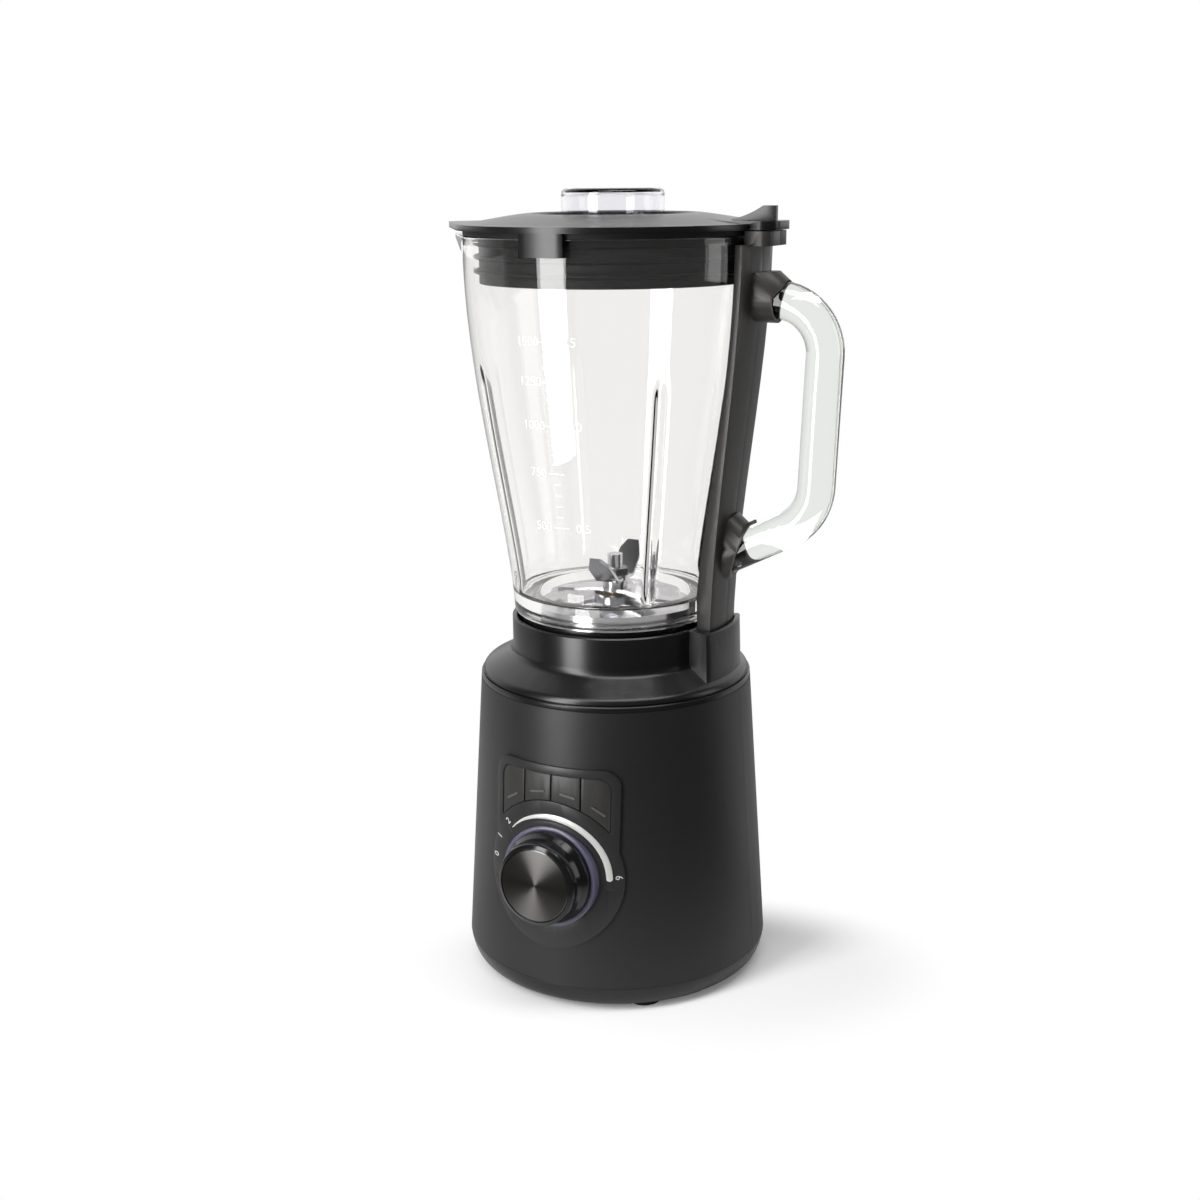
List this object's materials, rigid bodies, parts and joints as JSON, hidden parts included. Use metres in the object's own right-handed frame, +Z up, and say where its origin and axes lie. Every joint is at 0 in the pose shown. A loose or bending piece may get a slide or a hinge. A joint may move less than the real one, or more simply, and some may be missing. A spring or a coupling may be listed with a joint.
{
  "type": "countertop blender",
  "caption": "Upright blender: tapered round motor base with a dial and a row of buttons, lift-off ribbed glass jug with side handle, blade set, lid and measuring cap.",
  "frame": {"origin": "under the middle of the whole part, at the plane that the feet stand on; the motor and jug axis stands at X -13.6 mm, Y +6 mm", "axes": "+Z up, parallel to the motor and jug axis, -Y towards the controls, +X towards the handle, -X towards the spout"},
  "size_m": [0.2152, 0.1788, 0.4082],
  "materials": {
    "housing_plastic": "soft-touch matte black",
    "satin_plastic": "semi-gloss moulded black",
    "cover_plastic": "satin dark brown-grey",
    "panel_plastic": "satin black",
    "button_plastic": "satin black",
    "gloss_plastic": "gloss black",
    "rubber": "black rubber",
    "silicone": "white silicone",
    "steel": "polished stainless steel",
    "plated_steel": "zinc plated",
    "silver_trim": "polished",
    "dark_metal": "turned, dark anodised",
    "light_guide": "translucent lavender",
    "jug_glass": "clear, faintly green",
    "cap_plastic": "clear plastic with a faint lavender tint",
    "circuit_board": "green laminate",
    "switch_plastic": "moulded",
    "dark_plastic": "moulded",
    "laminations": "stacked sheet steel",
    "copper_wire": "enamelled copper",
    "copper": "bare copper",
    "bronze": "sintered bronze",
    "die_cast": "die cast",
    "phenolic": "brown phenolic",
    "carbon": "carbon",
    "red_plastic": "red"
  },
  "bodies": {
    "base": {"motor_housing": "housing_plastic", "top_cover": "satin_plastic", "bottom_cover": "satin_plastic", "rubber_feet": "rubber", "bottom_screws": "plated_steel", "cord_inlet": "rubber", "control_panel": "panel_plastic", "speed_arc": "silver_trim", "light_ring": "light_guide", "control_board": "circuit_board", "button_switches": "switch_plastic", "speed_switch": "dark_plastic", "stator_core": "laminations", "field_coils": "copper_wire", "upper_bracket": "die_cast", "lower_bracket": "die_cast", "upper_bearing": "steel", "lower_bearing": "steel", "motor_mounts": "rubber", "motor_screws": "plated_steel", "brush_holders": "phenolic", "carbon_brushes": "carbon", "drip_seal": "rubber", "interlock_switch": "dark_plastic"},
    "knob": {"speed_knob": "gloss_plastic", "knob_disc": "dark_metal", "knob_spindle": "plated_steel"},
    "smoothie_key": {"smoothie_button": "button_plastic"},
    "clean_key": {"clean_button": "button_plastic"},
    "ice_key": {"ice_button": "button_plastic"},
    "pulse_key": {"pulse_button": "button_plastic"},
    "rotor": {"motor_shaft": "steel", "armature": "laminations", "armature_windings": "copper_wire", "commutator": "copper", "cooling_fan": "dark_plastic", "drive_coupling": "rubber"},
    "interlock": {"interlock_pin": "red_plastic"},
    "jug": {"glass_jug": "jug_glass", "handle_cover_front": "cover_plastic", "handle_cover_rear": "cover_plastic"},
    "blade_base": {"jug_base": "satin_plastic", "blade_carrier": "steel", "blade_gasket": "silicone", "blade_bush": "bronze"},
    "blades": {"blade_shaft": "steel", "lower_blades": "steel", "upper_blades": "steel", "blade_spacer": "steel", "blade_nut": "steel", "driven_coupling": "plated_steel"},
    "lid": {"lid": "satin_plastic", "lid_seal": "rubber"},
    "cap": {"measuring_cap": "cap_plastic"}
  },
  "joints": [
    {"name": "knob_turn", "type": "hinge", "parent": "base", "child": "knob", "pos_m": [-0.0136, -0.07119, 0.0717], "axis": [0, 0.9979, -0.0654], "range_deg": [0, 165]},
    {"name": "smoothie_press", "type": "slide", "parent": "base", "child": "smoothie_key", "axis": [0, 1, 0], "range_m": [0, 0.0012], "stiffness_N_per_m": 600},
    {"name": "clean_press", "type": "slide", "parent": "base", "child": "clean_key", "axis": [0, 1, 0], "range_m": [0, 0.0012], "stiffness_N_per_m": 600},
    {"name": "ice_press", "type": "slide", "parent": "base", "child": "ice_key", "axis": [0, 1, 0], "range_m": [0, 0.0012], "stiffness_N_per_m": 600},
    {"name": "pulse_press", "type": "slide", "parent": "base", "child": "pulse_key", "axis": [0, 1, 0], "range_m": [0, 0.0012], "stiffness_N_per_m": 600},
    {"name": "motor_spin", "type": "hinge", "parent": "base", "child": "rotor", "pos_m": [-0.0136, 0.006, 0.1], "axis": [0, 0, 1], "continuous": true},
    {"name": "interlock_press", "type": "slide", "parent": "base", "child": "interlock", "axis": [0, 0, 1], "range_m": [-0.001, 0], "stiffness_N_per_m": 300},
    {"name": "jug_lift", "type": "slide", "parent": "base", "child": "jug", "axis": [0, 0, 1], "range_m": [0, 0.08]},
    {"name": "blade_base_turn", "type": "hinge", "parent": "jug", "child": "blade_base", "pos_m": [-0.0136, 0.006, 0.18], "axis": [0, 0, 1], "range_deg": [0, 45]},
    {"name": "blade_spin", "type": "hinge", "parent": "jug", "child": "blades", "pos_m": [-0.0136, 0.006, 0.2], "axis": [0, 0, 1], "continuous": true},
    {"name": "lid_lift", "type": "slide", "parent": "jug", "child": "lid", "axis": [0, 0, 1], "range_m": [0, 0.05]},
    {"name": "cap_lift", "type": "slide", "parent": "lid", "child": "cap", "axis": [0, 0, 1], "range_m": [0, 0.035]}
  ],
  "couplings": [
    {"joint": "blade_spin", "follows": "motor_spin", "ratio": 1}
  ]
}
